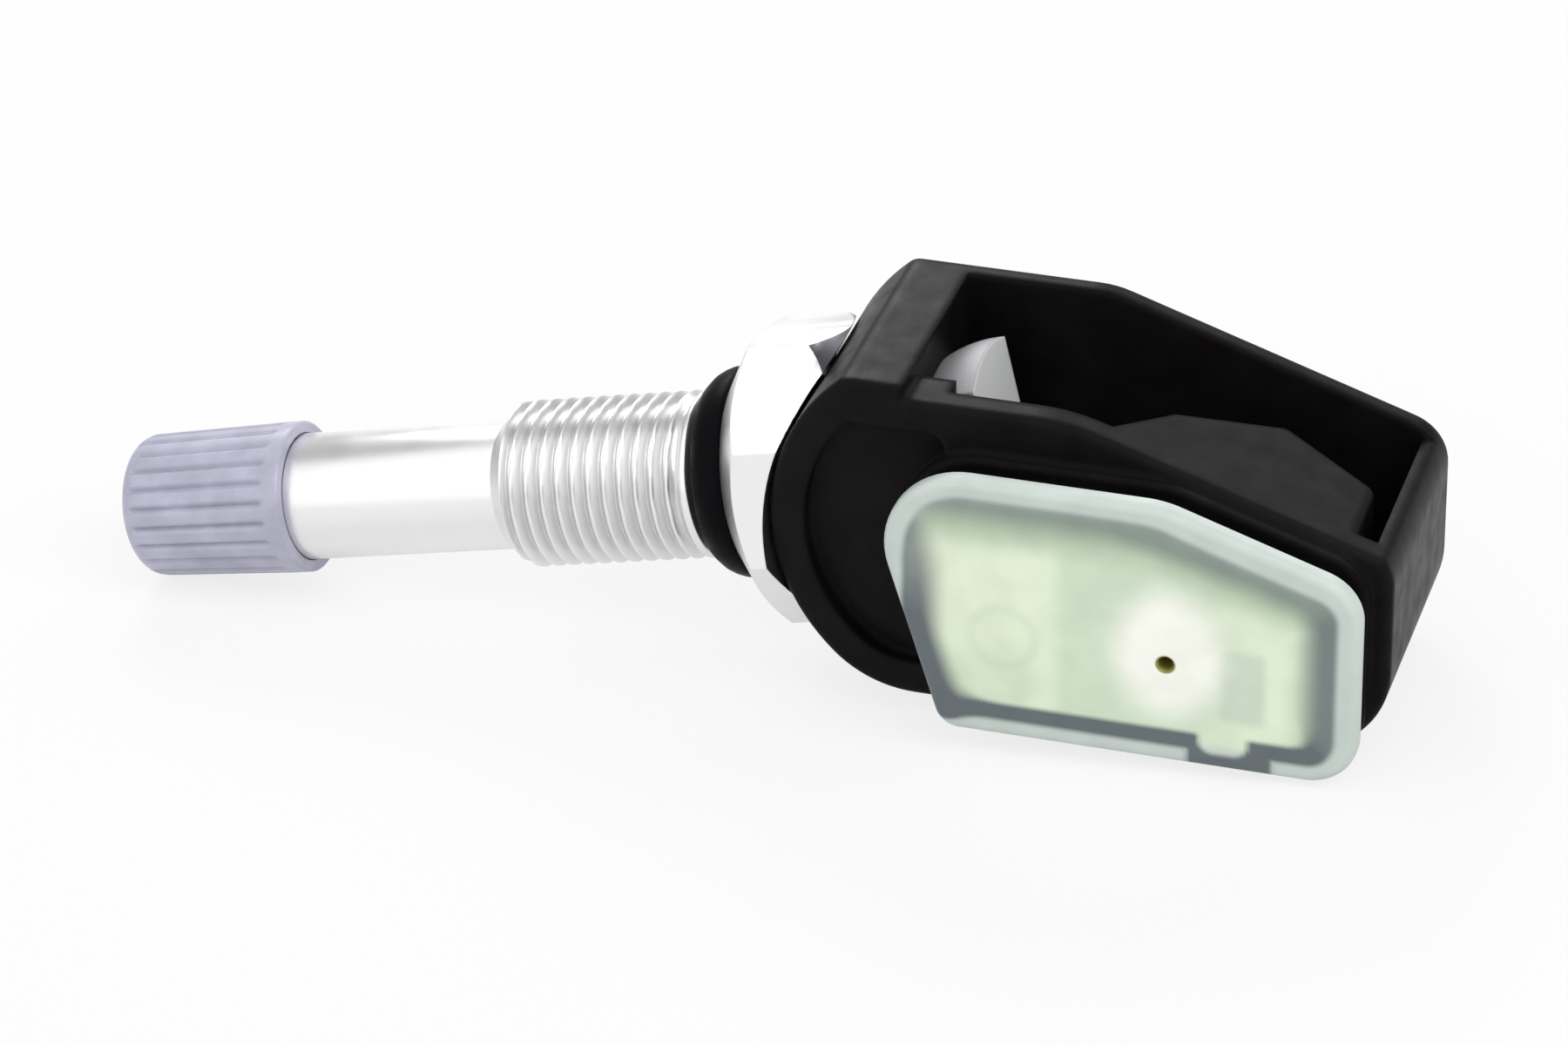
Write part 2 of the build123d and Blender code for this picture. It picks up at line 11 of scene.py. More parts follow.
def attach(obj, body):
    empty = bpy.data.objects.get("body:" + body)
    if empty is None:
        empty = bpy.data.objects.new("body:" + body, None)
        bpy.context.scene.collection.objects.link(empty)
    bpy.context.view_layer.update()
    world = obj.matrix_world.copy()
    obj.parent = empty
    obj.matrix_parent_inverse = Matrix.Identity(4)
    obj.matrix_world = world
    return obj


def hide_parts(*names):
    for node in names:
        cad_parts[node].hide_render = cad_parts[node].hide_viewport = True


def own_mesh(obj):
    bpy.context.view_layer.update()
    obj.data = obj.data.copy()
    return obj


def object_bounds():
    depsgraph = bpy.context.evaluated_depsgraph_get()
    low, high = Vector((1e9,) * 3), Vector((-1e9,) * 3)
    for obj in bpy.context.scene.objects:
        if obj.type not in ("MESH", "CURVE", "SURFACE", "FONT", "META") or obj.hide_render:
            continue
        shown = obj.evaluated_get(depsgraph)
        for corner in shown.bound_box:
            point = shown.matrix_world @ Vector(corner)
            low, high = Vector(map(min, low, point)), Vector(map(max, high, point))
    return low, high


MM = 0.001

# Camera: the photograph's angle, seen in the housing's own frame
camera_azimuth = 17.9
camera_elevation = 31.15
camera_roll = -1.2
camera_distance = 346.5
camera_lens = 140
camera_clip = 10
camera_aim = (7.87, -3.12)
aim_along = -2.2
aim_height = -1.75

# Housing: the valve's slope to it in degrees, and the valve axis behind the lid's outer face
valve_slope = 12.5
axis_depth = 11.6

# Lid, in the housing's own side view from the swivel centre, and how finely it is drawn
lid_thickness = 2.0
lid_top = 5.0
lid_base = -11.75
lid_end = 23.2
lid_ramp_start = 11.6
lid_lean = 16.8
lid_left_at_base = -1.28
lid_ramp_slope = 18.5
lid_radii = [5.0, 1.5, 3.0, 3.0, 6.0]
lid_edge_round = 0.55
lid_pocket_depth = 1.0
lid_flange = 1.0
lid_step = 0.65
window_inset = 2.5
window_margin = 1.5
port_along = 12.05
port_height = -5.2
port_radius = 0.45
port_lip = 0.08
port_lip_depth = 0.03
port_mouth_depth = 0.15
port_rim = 0.2
port_boss_radius = 2.4
port_boss_back = 1.6
window_rings = 44
rim_ring_gap = 0.13
edge_rows = 6
corner_steps = 18
side_steps = 80
least_corner = 0.01

# Weld band behind the lid: how soft its outer edge is, how its corners round, how sharply it changes
# from side to side, and for each side where it starts in from the edge, where it starts to fade
# inwards, where it is gone, and how dark it is. On the left it changes between two heights, and low
# down it reaches the edge.
weld_edge = 0.5
weld_round = 5.0
weld_power = 4
weld_blend = 20
least_pull = 0.01
weld_left_low = (-0.5, 0.9, 2.5, 1.05)
weld_left_high = (1.0, 1.9, 4.1, 0.8)
weld_left_change = (-6.0, 0.5)
weld_base = (0.9, 2.0, 2.5, 1.1)
weld_end = (1.05, 2.0, 3.9, 0.87)
weld_slope = (1.1, 1.9, 3.5, 0.63)
weld_top = (0.85, 1.5, 3.3, 0.6)

# What shows through the lid, and painted shade in its lower left corner: rectangles (left, right, low, high) with
# their corner radius and softness, places (along, height) with their radius, and pairs between which a tint or the
# shade changes
notch_box = (14.0, 16.9, -10.75, -6.3)
notch_corner = 0.9
step_box = (13.4, 18.3, -12.3, -9.0)
step_corner = 0.8
rib_soft = 0.25
chip_box = (15.2, 17.9, -8.4, -3.7)
chip_corner = 0.5
chip_soft = 0.4
strip_box = (17.9, 19.8, -8.2, -2.3)
strip_soft = 0.3
glow_place = (12.2, -4.5)
glow_reach = (3.1, 3.9)
glow_fade = (0.6, 1.4)
board_edge = 5.7
board_soft = 0.7
far_green = (13, 17)
corner_shade_height = (-8, -4.5)
corner_shade_along = (3.5, 5)
button_place = (2.5, -5.0)
button_radius = 1.9
button_ring = (0.05, 0.55)

# Shade in the window along the lid's top and end, as distances in from the edge where it starts to
# fade and where it is gone
top_shade = (2.7, 4.9)
end_shade = (2.8, 4.6)

# Colours of the lid, and how strongly each thing tints the window or lays painted shade on it
lid_rim = Vector((0.58, 0.645, 0.61))
lid_band = Vector((0.13, 0.155, 0.17))
window_green = Vector((0.79, 0.89, 0.69))
window_grey = Vector((0.65, 0.77, 0.6))
window_glow = Vector((0.98, 0.985, 0.9))
window_shade = Vector((0.45, 0.57, 0.42))
window_chip = Vector((0.57, 0.66, 0.55))
port_olive = Vector((0.28, 0.28, 0.06))
far_green_share = 0.8
corner_shade_share = 0.3
button_ring_share = 0.16
button_share = 0.12
chip_share = 0.7
strip_share = 0.6
top_shade_share = 0.95
end_shade_share = 0.6

# Valve stem, as distances from the swivel centre towards the cap and radii, with the range of leans
# that marks the back bevel that gets painted shade, the threads' profile, and how finely it is drawn
collar_face = 15.95
collar_face_radius = 6.3
bevel_lean = (0.25, 0.7)
neck_radius = 4.55
thread_start = 18.75
thread_radius = 5.0
thread_chamfer = 30.55
shoulder_reach = 31.7
stem_radius = 3.85
stem_end = 54.7
stem_edge = 0.4
chamber_start = 39.6
chamber_radius = 2.1
mouth_cone = 48.1
mouth_start = 49.3
mouth_radius = 2.62
air_radius = 1.2
thread_pitch = 1.0
thread_depth = 0.55
cap_thread_start = 46.9
cap_thread_pitch = 0.794
cap_thread_depth = 0.46
thread_crest = 0.14
thread_root = 0.1
rows_per_turn = 14
turned_segments = 144

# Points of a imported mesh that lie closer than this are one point
seam_gap = 0.001

# Seal: its bulge as (reach past the collar's face, radius below the collar's), and its outer lip as
# (reach before its end, radius above its end's)
seal_end = 18.25
seal_end_radius = 5.65
seal_bulge = [(0, 0.35), (0.08, 0.15), (0.25, 0.02), (0.5, 0), (0.9, 0.04), (1.3, 0.16), (1.7, 0.36)]
seal_lip = [(0.35, 0.08), (0.12, -0.12), (0, -0.4)]

# Colours of the half ball: painted shade on its dome and painted light on its flat face
nut_shaded_dome = (0.42, 0.425, 0.44)
nut_lit_flat = (0.87, 0.88, 0.88)

# Cap, as distances from the swivel centre and radii, with its flutes, and how finely it is drawn
cap_open = 45.5
cap_end = 56.6
cap_open_radius = 4.6
cap_end_radius = 4.35
cap_bore_radius = 3.9
cap_rim_width = 1.1
cap_edge = 0.12
cap_floor = 55.7
cap_round = 1.3
cap_round_rows = 8
cap_row_gap = 0.25
cap_dimple_radius = 1.2
cap_dimple_depth = 0.08
cap_axis_gap = 0.02
cap_flutes = 22
flute_points = 12
flute_depth = 0.32
flute_share = 0.45
flute_run_in = (-0.1, 0.35)
flute_run_out = cap_end - cap_round / 3

# Light: world and floor levels, and each lamp's power in watts, size and place
world_fill = 0.3
world_shine = 0.45
lamps = {
    "key": (7.2, 1700, (-260, -500, 620)),
    "side": (2.0, 400, (420, -160, 480)),
    "back": (1.4, 240, (-210, 450, 330)),
    "slope": (0.45, 260, (120, 460, 330)),
}
floor_half = 3000
floor_grey = 0.78
floor_lift = 0.8
floor_shine = 0.5

# Part of the noise's range over which a colour or a roughness changes, and rays per softened edge
noise_span = (0.3, 0.7)
edge_samples = 6

# Aluminium: colours of turned faces, of the painted shade in the thread roots and of the painted shade on the
# back bevel, and the width of about three lathe lines
alu_bright = (0.88, 0.88, 0.88)
alu_root_shade = (0.7, 0.71, 0.7)
alu_bevel_shade = (0.12, 0.12, 0.135)
lathe_width = 0.9

# Inner materials: dark and light colour, roughness, metallic and grain size
inner_finishes = {
    "core_brass": ((0.66, 0.47, 0.2), (0.78, 0.58, 0.3), 0.3, 1.0, 0.8),
    "gasket_white": ((0.72, 0.7, 0.64), (0.82, 0.8, 0.75), 0.5, 0.0, 0.6),
    "spring_steel": ((0.5, 0.5, 0.52), (0.62, 0.62, 0.63), 0.3, 1.0, 0.5),
    "board_laminate": ((0.03, 0.16, 0.06), (0.05, 0.24, 0.09), 0.45, 0.0, 1.0),
    "cell_steel": ((0.6, 0.6, 0.61), (0.72, 0.72, 0.72), 0.28, 1.0, 2.0),
    "chip_black": ((0.02, 0.02, 0.022), (0.035, 0.035, 0.036), 0.5, 0.0, 0.5),
    "ferrite": ((0.04, 0.038, 0.036), (0.08, 0.075, 0.07), 0.6, 0.0, 0.4),
    "copper": ((0.6, 0.26, 0.12), (0.75, 0.36, 0.2), 0.35, 1.0, 0.4),
    "chip_ceramic": ((0.5, 0.42, 0.32), (0.62, 0.54, 0.42), 0.5, 0.0, 0.4),
}

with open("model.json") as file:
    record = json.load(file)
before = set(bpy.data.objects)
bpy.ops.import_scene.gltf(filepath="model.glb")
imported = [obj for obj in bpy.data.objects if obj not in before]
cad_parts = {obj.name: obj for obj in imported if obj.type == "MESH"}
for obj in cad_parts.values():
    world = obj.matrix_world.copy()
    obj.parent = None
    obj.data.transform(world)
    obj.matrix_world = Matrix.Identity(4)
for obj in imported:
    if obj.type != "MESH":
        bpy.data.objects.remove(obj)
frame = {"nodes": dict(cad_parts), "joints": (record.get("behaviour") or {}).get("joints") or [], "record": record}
cad_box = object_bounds()
joints = {joint["name"]: joint for joint in frame["joints"]}
pivot = Vector(joints["housing_swivel"]["pos_m"])
valve_way = Vector(joints["cap_lift"]["axis"]).normalized()
depth_way = Vector((0, 1, 0))
valve_up = valve_way.cross(depth_way).normalized()
along_way = Matrix.Rotation(math.radians(valve_slope), 3, depth_way) @ -valve_way
height_way = along_way.cross(depth_way)


def in_housing(along, height, depth):
    """Point given by the housing's own measures, in metres."""
    return pivot + (along_way * along + height_way * height + depth_way * (depth - axis_depth)) * MM


def on_valve(reach, radius, turn):
    """Point on a circle about the valve axis, in metres."""
    out = depth_way * -math.cos(turn) + valve_up * math.sin(turn)
    return pivot + (valve_way * reach + out * radius) * MM


def valve_ring(reach, radius, segments=turned_segments):
    """Points of a whole circle about the valve axis."""
    return [on_valve(reach, radius, 2 * math.pi * k / segments) for k in range(segments)]


def new_piece(name, verts, faces, body, slot, *replaced):
    """Makes a mesh object that stands for CAD nodes and rides on a body."""
    mesh = bpy.data.meshes.new(name)
    mesh.from_pydata(verts, [], faces)
    piece = bpy.data.objects.new(name, mesh)
    bpy.context.scene.collection.objects.link(piece)
    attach(piece, body)
    if replaced:
        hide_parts(*replaced)
    return piece


def shade(mesh, angle=32):
    """Smooth shading with sharp edges above an angle."""
    mesh.polygons.foreach_set("use_smooth", [True] * len(mesh.polygons))
    mesh.set_sharp_from_angle(angle=math.radians(angle))


def ring_faces(rings, points, closed=False):
    """Quads between neighbouring rings of a stack of rings."""
    faces = []
    pairs = [(i, i + 1) for i in range(rings - 1)]
    if closed:
        pairs.append((rings - 1, 0))
    for low, high in pairs:
        for k in range(points):
            after = (k + 1) % points
            low_pair = (low * points + k, low * points + after)
            high_pair = (high * points + after, high * points + k)
            faces.append(low_pair + high_pair)
    return faces


def thread_cut(reach, turn, pitch, depth):
    """How deep a right-hand thread cuts at a place."""
    phase = (reach / pitch - turn / (2 * math.pi)) % 1
    fall = 1 - abs(2 * phase - 1)
    share = (fall - thread_crest) / (1 - thread_crest - thread_root)
    return depth * min(max(share, 0), 1)


def steps(start, end, size):
    """Even steps from start to end, both included, about one size apart."""
    count = max(1, round((end - start) / size))
    return [start + (end - start) * i / count for i in range(count + 1)]


def ease(low, high, value):
    """Smooth step from 0 at low to 1 at high."""
    share = min(max((value - low) / (high - low), 0), 1)
    return share * share * (3 - 2 * share)


def radius_on(profile, reach):
    """Radius of a turned profile of (reach, radius) points at a reach."""
    for (start, near), (end, far) in zip(profile, profile[1:]):
        if start <= reach <= end:
            return near + (far - near) * (reach - start) / (end - start)
    return profile[-1][1]


def turned_rows(profile, inside):
    """Rows of points of the stem with its threads and bore, and how deep each point is cut."""
    threads = [
        (thread_start, shoulder_reach, thread_radius, thread_pitch, thread_depth),
        (cap_thread_start, stem_end, stem_radius, cap_thread_pitch, cap_thread_depth),
    ]
    reaches = [reach for reach, radius in profile]
    for start, end, crest, pitch, depth in threads:
        reaches += steps(start, end, pitch / rows_per_turn)
    reaches = sorted(set(round(reach, 5) for reach in reaches))
    rows = []
    cuts = []
    for reach in reaches:
        plain = radius_on(profile, reach)
        row = []
        for k in range(turned_segments):
            turn = 2 * math.pi * k / turned_segments
            radius = plain
            for start, end, crest, pitch, depth in threads:
                if start < reach < end:
                    run_in = min(1, (reach - start) / pitch)
                    radius = min(radius, crest - run_in * thread_cut(reach, turn, pitch, depth))
            row.append(on_valve(reach, radius, turn))
            cuts.append((plain - radius) / thread_depth)
        rows.append(row)
    for reach, radius in inside:
        rows.append(valve_ring(reach, radius))
        cuts += [0] * turned_segments
    return rows, cuts


def packed(name):
    """A copy of a node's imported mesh, with its seams closed."""
    mesh = bmesh.new()
    mesh.from_mesh(frame["nodes"][name].data)
    bmesh.ops.remove_doubles(mesh, verts=mesh.verts, dist=seam_gap * MM)
    return mesh


def points_and_faces(mesh):
    """Points of a bmesh, and its faces as tuples of their numbers."""
    mesh.verts.index_update()
    verts = [vert.co.copy() for vert in mesh.verts]
    return verts, [tuple(vert.index for vert in face.verts) for face in mesh.faces]


def make_stem():
    """The collar as packed, with a threaded stem on it."""
    collar = packed("valve_stem")
    turned_faces = []
    for face in collar.faces:
        reaches = [(vert.co - pivot).dot(valve_way) / MM for vert in face.verts]
        radii = [((vert.co - pivot).cross(valve_way)).length / MM for vert in face.verts]
        if max(reaches) > collar_face + stem_edge and max(radii) > air_radius + stem_edge / 4:
            turned_faces.append(face)
    bmesh.ops.delete(collar, geom=turned_faces, context="FACES")
    profile = [
        (collar_face - stem_edge, neck_radius),
        (thread_start - stem_edge, neck_radius),
        (thread_start, thread_radius),
        (thread_chamfer, thread_radius),
        (shoulder_reach, stem_radius),
        (stem_end - stem_edge, stem_radius),
        (stem_end, stem_radius - stem_edge),
    ]
    bore = [
        (stem_end, mouth_radius),
        (mouth_start, mouth_radius),
        (mouth_cone, chamber_radius),
        (chamber_start, chamber_radius),
        (chamber_start, air_radius),
    ]
    rows, cuts = turned_rows(profile, bore)
    verts, faces = points_and_faces(collar)
    collar.normal_update()
    # Faces of the collar's back bevel, found by their lean, get painted shade
    leans = [-face.normal.dot(valve_way) for face in collar.faces]
    bevel_shade = [1 if bevel_lean[0] < lean < bevel_lean[1] else 0 for lean in leans]
    start = len(verts)
    for row in rows:
        verts += row
    faces += [tuple(start + i for i in face) for face in ring_faces(len(rows), turned_segments)]
    collar.free()
    stem = new_piece("threaded_stem", verts, faces, "valve", "bare_aluminium", "valve_stem")
    attribute = stem.data.attributes.new("thread_cut", "FLOAT", "POINT")
    attribute.data.foreach_set("value", [0] * start + cuts)
    bevel_shading = stem.data.attributes.new("bevel_shade", "FLOAT", "FACE")
    bevel_shading.data.foreach_set("value", bevel_shade + [0] * (len(faces) - len(bevel_shade)))
    shade(stem.data)
    return stem


def make_spring():
    """The valve core's spring as packed."""
    coil = packed("core_spring")
    verts, faces = points_and_faces(coil)
    coil.free()
    spring = new_piece("coil_spring", verts, faces, "valve", "spring_steel", "core_spring")
    shade(spring.data, angle=60)
    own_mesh(spring)
    return spring


def make_seal():
    """Rubber cone ring with a slight bulge and soft edges."""
    profile = [(collar_face, neck_radius)]
    profile += [(collar_face + past, collar_face_radius - drop) for past, drop in seal_bulge]
    profile += [(seal_end - before, seal_end_radius + rise) for before, rise in seal_lip]
    profile.append((seal_end, neck_radius))
    verts = []
    for reach, radius in profile:
        verts += valve_ring(reach, radius)
    faces = ring_faces(len(profile), turned_segments, closed=True)
    seal = new_piece("seal_ring", verts, faces, "valve", "black_rubber", "stem_seal")
    shade(seal.data, angle=50)
    return seal


def make_cap():
    """Valve cap with soft flutes that end at a plain rim, and a rounded closed end."""
    cap_rim = cap_open + cap_rim_width
    round_start = cap_end - cap_round
    segments = cap_flutes * flute_points
    profile = [(cap_open, cap_open_radius - cap_edge), (cap_open + cap_edge, cap_open_radius)]
    for reach in steps(cap_rim - cap_row_gap, round_start, cap_row_gap):
        share = max(reach - cap_rim, 0) / (round_start - cap_rim)
        profile.append((reach, cap_open_radius + (cap_end_radius - cap_open_radius) * share))
    for k in range(1, cap_round_rows + 1):
        turn = math.pi / 2 * k / cap_round_rows
        reach = round_start + cap_round * math.sin(turn)
        profile.append((reach, cap_end_radius - cap_round * (1 - math.cos(turn))))
    verts = []
    for reach, radius in profile:
        depth = flute_depth * ease(cap_rim + flute_run_in[0], cap_rim + flute_run_in[1], reach)
        depth *= 1 - ease(round_start, flute_run_out, reach)
        for k in range(segments):
            phase = abs(2 * (k / flute_points % 1) - 1)
            groove = 1 - ease(0, flute_share, phase)
            verts.append(on_valve(reach, radius - depth * groove, 2 * math.pi * k / segments))
    inner_rings = [
        (cap_end, cap_dimple_radius),
        (cap_end - cap_dimple_depth, cap_axis_gap),
        (cap_floor, cap_axis_gap),
        (cap_floor, cap_bore_radius),
        (cap_open, cap_bore_radius),
    ]
    for reach, radius in inner_rings:
        verts += valve_ring(reach, radius, segments)
    faces = ring_faces(len(profile) + len(inner_rings), segments, closed=True)
    cap = new_piece("fluted_cap", verts, faces, "cap", "cap_plastic", "cap_shell")
    shade(cap.data, angle=40)
    return cap


def lid_corners():
    """The lid's corners before they are rounded, as (along, height)."""
    left_at_top = lid_left_at_base - (lid_top - lid_base) * math.tan(math.radians(lid_lean))
    end_top = lid_top - math.tan(math.radians(lid_ramp_slope)) * (lid_end - lid_ramp_start)
    return [
        Vector((left_at_top, lid_top)),
        Vector((lid_left_at_base, lid_base)),
        Vector((lid_end, lid_base)),
        Vector((lid_end, end_top)),
        Vector((lid_ramp_start, lid_top)),
    ]


def lid_outline(inset):
    """Points of the lid's rounded outline, drawn in by an inset, as (along, height)."""
    corners = lid_corners()
    arcs = []
    for i, corner in enumerate(corners):
        into = (corner - corners[i - 1]).normalized()
        out = (corners[(i + 1) % len(corners)] - corner).normalized()
        turn = -into.angle_signed(out)
        radius = lid_radii[i]
        centre = corner - into * radius * math.tan(turn / 2) + Vector((-into.y, into.x)) * radius
        start = Vector((into.y, -into.x)) * max(radius - inset, least_corner)
        arcs.append([
            centre + Matrix.Rotation(turn * k / corner_steps, 2) @ start for k in range(corner_steps + 1)
        ])
    points = []
    for i, arc in enumerate(arcs):
        points += arc
        following = arcs[(i + 1) % len(arcs)][0]
        points += [arc[-1].lerp(following, k / side_steps) for k in range(1, side_steps)]
    return points


def edge_gaps(along, height):
    """Distances in from the lid's left, base, end, slope and top sides."""
    place = Vector((along, height))
    corners = lid_corners()
    gaps = []
    for corner, following in zip(corners, corners[1:] + corners[:1]):
        way = (following - corner).normalized()
        gaps.append((place - corner).dot(Vector((-way.y, way.x))))
    return gaps


def in_box(along, height, box, corner, soft):
    """1 inside a rectangle with round corners and a soft edge, 0 outside it."""
    left, right, low, high = box
    beside = max(left + corner - along, along - right + corner)
    above = max(low + corner - height, height - high + corner)
    gap = math.hypot(max(beside, 0), max(above, 0)) + min(max(beside, above), 0) - corner
    return 1 - ease(-soft, soft, gap)


def weld_values(along, height):
    """Values of the weld band at a place, blended between the sides that it lies near."""
    raised = ease(*weld_left_change, height)
    weld_left = [low + (high - low) * raised for low, high in zip(weld_left_low, weld_left_high)]
    sides = [weld_left, weld_base, weld_end, weld_slope, weld_top]
    pulls = [max(2 * weld_round - gap, least_pull) ** weld_blend for gap in edge_gaps(along, height)]
    blended = []
    for values in zip(*sides):
        blended.append(sum(pull * value for pull, value in zip(pulls, values)) / sum(pulls))
    return blended


def weld_band(along, height, edge_inset):
    """How dark the weld band is at a place that lies an inset in from the lid's edge."""
    gaps = edge_gaps(along, height)
    inset = weld_round - sum(max(weld_round - gap, 0) ** weld_power for gap in gaps) ** (1 / weld_power)
    start, fade_start, fade_end, depth = weld_values(along, height)
    inner = 1 - ease(fade_start, fade_end, inset)
    rib = ease(start, start + weld_edge, edge_inset)
    step = in_box(along, height, step_box, step_corner, rib_soft)
    notch = in_box(along, height, notch_box, notch_corner, rib_soft)
    return min(depth * inner * max(rib, step) * (1 - notch), 1)


def lid_colour(along, height, edge_inset):
    """Colour of the lid: pale rim, grey weld band, and a green window with a glow round the port."""
    window = window_green.lerp(window_grey, ease(board_edge - board_soft, board_edge + board_soft, along))
    window = window.lerp(window_green, far_green_share * ease(*far_green, along))
    # Painted shade in the window's lower left corner
    corner_shade = (1 - ease(*corner_shade_height, height)) * (1 - ease(*corner_shade_along, along))
    window = window.lerp(window_shade, corner_shade_share * corner_shade)
    from_button = math.hypot(along - button_place[0], height - button_place[1])
    ring = 1 - ease(*button_ring, abs(from_button - button_radius))
    button = 1 - ease(0, button_radius, from_button)
    window = window.lerp(window_shade, button_ring_share * ring + button_share * button)
    chip = in_box(along, height, chip_box, chip_corner, chip_soft)
    window = window.lerp(window_chip, chip_share * chip)
    strip = in_box(along, height, strip_box, chip_corner, strip_soft)
    window = window.lerp(window_green, strip_share * strip)
    glow_beside = (along - glow_place[0]) / glow_reach[0]
    glow_above = (height - glow_place[1]) / glow_reach[1]
    window = window.lerp(window_glow, 1 - ease(*glow_fade, math.hypot(glow_beside, glow_above)))
    end_gap, slope_gap, top_gap = edge_gaps(along, height)[2:]
    near_top = top_shade_share * (1 - ease(*top_shade, min(slope_gap, top_gap)))
    near_end = end_shade_share * (1 - ease(*end_shade, end_gap))
    window = window.lerp(window_shade, max(near_top, near_end))
    start = weld_values(along, height)[0]
    base = lid_rim.lerp(window, ease(start, start + 2 * weld_edge, edge_inset))
    return base.lerp(lid_band, weld_band(along, height, edge_inset))


def make_lid():
    """Milky lid: rings run from the port over the front, round the edge and back to the port."""
    port = Vector((port_along, port_height))
    verts = []
    colours = []

    def add_ring(points, depth, edge_inset, colour=None):
        for point in points:
            verts.append(in_housing(point.x, point.y, depth))
            colours.extend((*(colour or lid_colour(point.x, point.y, edge_inset)), 1))

    outline = lid_outline(0)
    inner_inset = window_inset + window_margin
    inner = lid_outline(inner_inset)

    def round_port(radius):
        return [port + (point - port).normalized() * radius for point in inner]

    # Front, from the port outwards
    add_ring(round_port(port_radius), port_mouth_depth, inner_inset, port_olive)
    add_ring(round_port(port_radius + port_lip), port_lip_depth, inner_inset, port_olive)
    port_ring = round_port(port_radius + port_rim)
    for share in steps(0, 1, 1 / window_rings)[:-1]:
        add_ring([near.lerp(far, share) for near, far in zip(port_ring, inner)], 0, inner_inset)
    for inset in steps(lid_edge_round, inner_inset, rim_ring_gap)[::-1]:
        add_ring(lid_outline(inset), 0, inset)
    # Rounded edge, side with a step behind the flange, and back
    for k in range(1, edge_rows + 1):
        turn = math.pi / 2 * k / edge_rows
        inset = lid_edge_round * (1 - math.sin(turn))
        add_ring(lid_outline(inset), lid_edge_round * (1 - math.cos(turn)), inset)
    add_ring(outline, lid_flange, 0)
    add_ring(lid_outline(lid_step), lid_flange, 0)
    add_ring(lid_outline(lid_step), lid_thickness, 0)
    add_ring(lid_outline(window_inset), lid_thickness, 0)
    add_ring(lid_outline(window_inset), lid_pocket_depth, 0)
    add_ring(round_port(port_boss_radius), lid_pocket_depth, 0)
    add_ring(round_port(port_boss_radius), port_boss_back, 0)
    add_ring(round_port(port_radius), port_boss_back, 0, port_olive)
    points = len(outline)
    faces = ring_faces(len(verts) // points, points, closed=True)
    lid = new_piece("milky_lid", verts, faces, "housing", "milky_plastic", "lid")
    attribute = lid.data.attributes.new("lid_colour", "FLOAT_COLOR", "POINT")
    attribute.data.foreach_set("color", colours)
    shade(lid.data)
    return lid


stem = make_stem()
spring = make_spring()
seal = make_seal()
cap = make_cap()
lid = make_lid()


def socket(made, name):
    """An input of a material's principled shader."""
    return made.node_tree.nodes["Principled BSDF"].inputs[name]


def material(name, colour, roughness, metallic=0.0, specular=0.5):
    """A principled material with plain values on its sockets."""
    made = bpy.data.materials.new(name)
    made.use_nodes = True
    socket(made, "Base Color").default_value = (*colour, 1)
    socket(made, "Roughness").default_value = roughness
    socket(made, "Metallic").default_value = metallic
    socket(made, "Specular IOR Level").default_value = specular
    return made


def node(made, kind, **values):
    """Adds a shader node and sets its properties."""
    added = made.node_tree.nodes.new(kind)
    for key, value in values.items():
        setattr(added, key, value)
    return added


def link(made, source, target):
    """Joins an output socket to an input socket."""
    made.node_tree.links.new(source, target)


def object_noise(made, grain_size, detail=4.0):
    """Noise in the part's own frame, with grains of about this size in millimetres."""
    place = node(made, "ShaderNodeTexCoord")
    noise = node(made, "ShaderNodeTexNoise")
    noise.inputs["Scale"].default_value = 1 / (grain_size * MM)
    noise.inputs["Detail"].default_value = detail
    link(made, place.outputs["Object"], noise.inputs["Vector"])
    return noise.outputs["Fac"]


def between_colours(made, factor, low, high, span=(0, 1)):
    """Colour that goes from low to high as a factor crosses a span."""
    ramp = node(made, "ShaderNodeValToRGB")
    for stop, colour, position in zip(ramp.color_ramp.elements, (low, high), span):
        stop.color = (*colour, 1)
        stop.position = position
    link(made, factor, ramp.inputs["Fac"])
    return ramp.outputs["Color"]


def noise_between(made, low, high, noise):
    """Value that drifts from low to high with a noise."""
    spread = node(made, "ShaderNodeMapRange")
    spread.inputs["From Min"].default_value = noise_span[0]
    spread.inputs["From Max"].default_value = noise_span[1]
    spread.inputs["To Min"].default_value = low
    spread.inputs["To Max"].default_value = high
    link(made, noise, spread.inputs["Value"])
    return spread.outputs["Result"]


def vary_colour(made, dark, light, grain_size):
    """Base colour that drifts between two colours."""
    colour = between_colours(made, object_noise(made, grain_size), dark, light, noise_span)
    link(made, colour, socket(made, "Base Color"))


def vary_roughness(made, low, high, grain_size):
    """Roughness that drifts between two values."""
    link(made, noise_between(made, low, high, object_noise(made, grain_size)), socket(made, "Roughness"))


def bump(made, height, depth, strength, soft_edge=0.0):
    """Fine relief of a depth in millimetres, over edges softened by a radius."""
    relief = node(made, "ShaderNodeBump")
    relief.inputs["Strength"].default_value = strength
    relief.inputs["Distance"].default_value = depth * MM
    link(made, height, relief.inputs["Height"])
    if soft_edge:
        edge = node(made, "ShaderNodeBevel", samples=edge_samples)
        edge.inputs["Radius"].default_value = soft_edge * MM
        link(made, edge.outputs["Normal"], relief.inputs["Normal"])
    link(made, relief.outputs["Normal"], socket(made, "Normal"))


